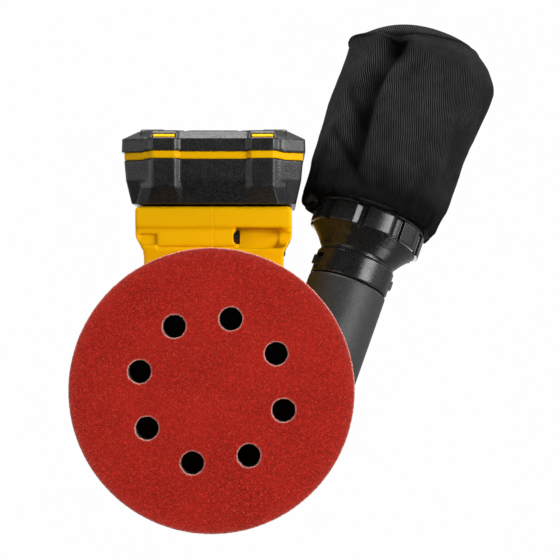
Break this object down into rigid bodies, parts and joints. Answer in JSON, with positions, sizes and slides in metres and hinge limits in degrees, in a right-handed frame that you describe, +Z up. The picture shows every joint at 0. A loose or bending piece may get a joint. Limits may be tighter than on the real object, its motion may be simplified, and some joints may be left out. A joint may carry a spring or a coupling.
{
  "type": "random orbit sander",
  "caption": "Cordless random orbit sander with a round perforated disc, a domed grip, a slide-on battery pack and a bayonet-fitted dust bag.",
  "frame": {"origin": "on the motor's axis, at the abrasive face that rests on the work", "axes": "+Z up from the abrasive face through the grip, +Y backwards from the grip to the battery pack, +X to the side away from the dust bag"},
  "size_m": [0.1961, 0.2359, 0.1462],
  "materials": {
    "yellow_plastic": "satin moulded plastic",
    "black_rubber": "fine matt texture",
    "black_plastic": "satin moulded plastic",
    "grey_plastic": "semi-gloss moulded plastic",
    "collar_plastic": "semi-gloss moulded plastic",
    "pack_plastic": "grained moulded plastic",
    "steel": "ground",
    "black_steel": "black oxide",
    "cast_aluminium": "die cast",
    "copper": "enamelled wire",
    "magnet": "plated",
    "board_green": "solder mask",
    "contact_brass": "plated",
    "wire_rubber": "insulation",
    "cell_can": "wrapped steel can, weighed as aluminium",
    "white_plastic": "moulded plastic",
    "nickel": "strip",
    "pad_foam": "closed-cell foam",
    "hook_fabric": "hook and loop",
    "abrasive_red": "abrasive grain on backing paper",
    "bag_fabric": "ribbed twill"
  },
  "bodies": {
    "body": {"housing_left": "yellow_plastic", "housing_right": "yellow_plastic", "palm_grip": "black_rubber", "side_strips": "black_rubber", "dust_shroud": "yellow_plastic", "shroud_screws": "steel", "housing_screws": "black_steel", "dust_port": "grey_plastic", "port_screws": "steel", "pad_brake_ring": "black_rubber", "bearing_plate": "cast_aluminium", "lower_bearing": "steel", "upper_bearing": "steel", "bearing_boot": "black_rubber", "stator_core": "steel", "stator_coils": "copper", "sensor_board": "board_green", "controller_board": "board_green", "controller_parts": "cast_aluminium", "terminal_block": "black_plastic", "terminal_blades": "contact_brass", "wiring": "wire_rubber", "switch_bezel": "black_plastic", "switch_module": "black_plastic", "dial_sensor": "black_plastic"},
    "rotor": {"motor_shaft": "steel", "rotor_core": "steel", "rotor_magnets": "magnet", "cooling_fan": "black_plastic", "counterweight_fan": "cast_aluminium", "lower_bearing_inner": "steel", "upper_bearing_inner": "steel", "pad_bearing": "steel", "pad_bearing_clip": "steel"},
    "pad": {"pad_bearing_inner": "steel", "pad_spindle": "steel", "backing_plate": "black_plastic", "foam_pad": "pad_foam", "hook_layer": "hook_fabric", "abrasive_disc": "abrasive_red", "pad_screw": "steel", "pad_washer": "steel"},
    "battery": {"pack_upper_case": "pack_plastic", "pack_band": "yellow_plastic", "pack_lower_case": "pack_plastic", "pack_plugs": "yellow_plastic", "pack_screws": "black_steel", "pack_cells": "cell_can", "cell_frame": "white_plastic", "cell_straps": "nickel", "pack_board": "board_green", "pack_contacts": "contact_brass", "latch_spring": "steel"},
    "latch": {"latch_button": "black_plastic"},
    "switch": {"switch_rocker": "black_plastic"},
    "dial": {"speed_dial": "black_plastic"},
    "bag": {"bag_neck": "grey_plastic", "bag_frame": "black_plastic", "dust_bag": "bag_fabric"},
    "collar": {"lock_collar": "collar_plastic"}
  },
  "joints": [
    {"name": "motor_spin", "type": "hinge", "parent": "body", "child": "rotor", "pos_m": [0, 0, 0.08], "axis": [0, 0, 1], "continuous": true},
    {"name": "pad_spin", "type": "hinge", "parent": "rotor", "child": "pad", "pos_m": [0, -0.0012, 0.028], "axis": [0, 0, 1], "continuous": true},
    {"name": "switch_rock", "type": "hinge", "parent": "body", "child": "switch", "pos_m": [0, -0.04069, 0.12017], "axis": [1, 0, 0], "range_deg": [0, 14]},
    {"name": "speed_dial_turn", "type": "hinge", "parent": "body", "child": "dial", "pos_m": [0, 0.0536, 0.1193], "axis": [1, 0, 0], "range_deg": [0, 270]},
    {"name": "battery_slide", "type": "slide", "parent": "body", "child": "battery", "axis": [0, 0, 1], "range_m": [0, 0.095]},
    {"name": "latch_press", "type": "slide", "parent": "battery", "child": "latch", "axis": [0, 1, 0], "range_m": [0, 0.003], "stiffness_N_per_m": 500, "springref_m": -0.002, "deforming": ["latch_spring"]},
    {"name": "bag_slide", "type": "slide", "parent": "body", "child": "bag", "axis": [-0.3333, 0.9156, 0.225], "range_m": [0, 0.05]},
    {"name": "collar_twist", "type": "hinge", "parent": "bag", "child": "collar", "pos_m": [-0.0659, 0.05893, 0.05014], "axis": [0.3333, -0.9156, -0.225], "range_deg": [0, 24]}
  ]
}
